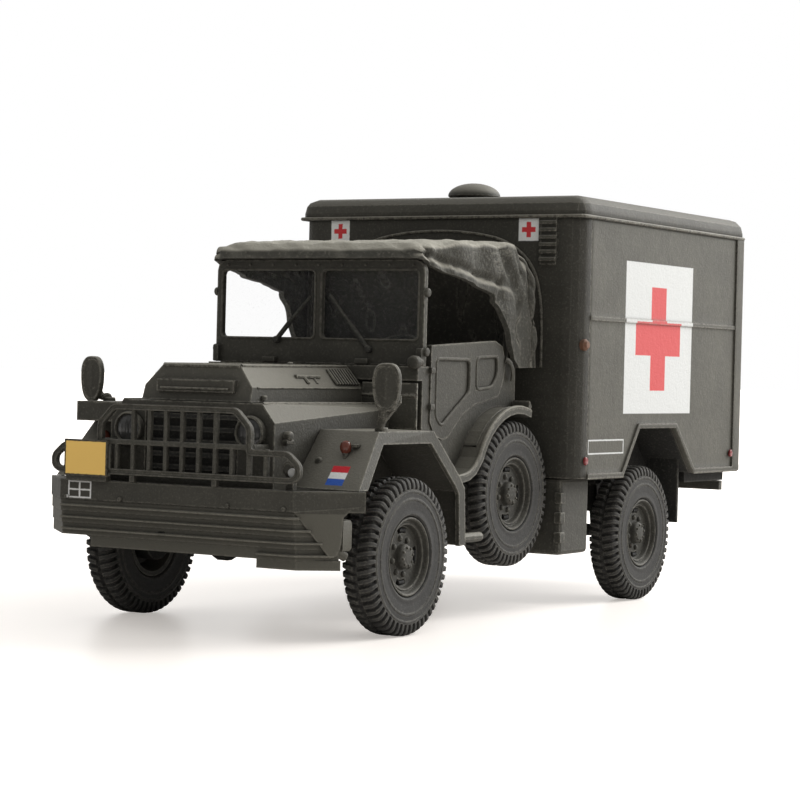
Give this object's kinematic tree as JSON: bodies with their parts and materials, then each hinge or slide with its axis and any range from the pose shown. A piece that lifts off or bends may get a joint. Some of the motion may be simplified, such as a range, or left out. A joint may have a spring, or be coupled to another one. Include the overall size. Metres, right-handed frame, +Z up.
{
  "type": "scale model of a military field ambulance truck",
  "caption": "Small H0 scale model of a four-wheel-drive military ambulance with an open cab, canvas hood and box body on wheels that turn.",
  "frame": {"origin": "on the ground under the middle of the model's bounding box", "axes": "+X to the truck's left, -Y to its front, +Z up"},
  "size_m": [0.0248, 0.0618, 0.0308],
  "materials": {
    "olive_paint": "matt olive-drab paint on cast resin, edges dry-brushed lighter",
    "underside_paint": "matt dark grey-green paint",
    "hood_paint": "cast resin canvas, painted grey-green, matt and wrinkled",
    "seat_paint": "matt dark paint",
    "tyre": "matt dark grey, lightly dusted",
    "yellow_plate": "printed plain yellow plate with a dark edge",
    "lamp_lens": "clear lens",
    "glazing": "clear thin pane"
  },
  "bodies": {
    "truck": {"bonnet": "olive_paint", "box_floor": "underside_paint", "box_front": "olive_paint", "box_roof": "olive_paint", "box_side_left": "olive_paint", "box_side_right": "olive_paint", "cab_body": "olive_paint", "canvas_hood": "hood_paint", "chassis_frame": "underside_paint", "dashboard": "olive_paint", "door_left": "olive_paint", "door_right": "olive_paint", "engine_and_gearbox": "underside_paint", "front_axle": "underside_paint", "front_bumper": "olive_paint", "front_wing_left": "olive_paint", "front_wing_right": "olive_paint", "grille_guard": "olive_paint", "headlamp_left": "lamp_lens", "headlamp_right": "lamp_lens", "marker_lamp_left": "olive_paint", "marker_lamp_right": "olive_paint", "mirror_left": "olive_paint", "mirror_right": "olive_paint", "nose": "olive_paint", "number_plate": "yellow_plate", "radiator": "underside_paint", "rear_axle": "underside_paint", "rear_crossbar": "olive_paint", "rear_door_left": "olive_paint", "rear_door_right": "olive_paint", "rear_window_left": "glazing", "rear_window_right": "glazing", "roof_vent": "olive_paint", "seat_left": "seat_paint", "seat_right": "seat_paint", "side_tank_left": "olive_paint", "side_tank_right": "olive_paint", "side_wheel_guard_left": "olive_paint", "side_wheel_guard_right": "olive_paint", "steering_wheel": "underside_paint", "windscreen_frame": "olive_paint", "windscreen_glass": "glazing", "wing_locker": "olive_paint"},
    "front_wheel_left": {"tyre_front_left": "tyre", "rim_front_left": "olive_paint"},
    "front_wheel_right": {"tyre_front_right": "tyre", "rim_front_right": "olive_paint"},
    "rear_wheel_left": {"tyre_rear_left": "tyre", "rim_rear_left": "olive_paint"},
    "rear_wheel_right": {"tyre_rear_right": "tyre", "rim_rear_right": "olive_paint"},
    "side_wheel_left": {"tyre_spare_left": "tyre", "rim_spare_left": "olive_paint"},
    "side_wheel_right": {"tyre_spare_right": "tyre", "rim_spare_right": "olive_paint"}
  },
  "joints": [
    {"name": "front_wheel_left_turns", "type": "hinge", "parent": "truck", "child": "front_wheel_left", "pos_m": [0.00997, -0.02014, 0.00503], "axis": [1, 0, 0], "continuous": true},
    {"name": "front_wheel_right_turns", "type": "hinge", "parent": "truck", "child": "front_wheel_right", "pos_m": [-0.00997, -0.02014, 0.00503], "axis": [1, 0, 0], "continuous": true},
    {"name": "rear_wheel_left_turns", "type": "hinge", "parent": "truck", "child": "rear_wheel_left", "pos_m": [0.00997, 0.01406, 0.00503], "axis": [1, 0, 0], "continuous": true},
    {"name": "rear_wheel_right_turns", "type": "hinge", "parent": "truck", "child": "rear_wheel_right", "pos_m": [-0.00997, 0.01406, 0.00503], "axis": [1, 0, 0], "continuous": true},
    {"name": "side_wheel_left_turns", "type": "hinge", "parent": "truck", "child": "side_wheel_left", "pos_m": [0.00868, -0.00399, 0.00845], "axis": [1, 0, 0], "continuous": true},
    {"name": "side_wheel_right_turns", "type": "hinge", "parent": "truck", "child": "side_wheel_right", "pos_m": [-0.00868, -0.00399, 0.00845], "axis": [1, 0, 0], "continuous": true}
  ]
}
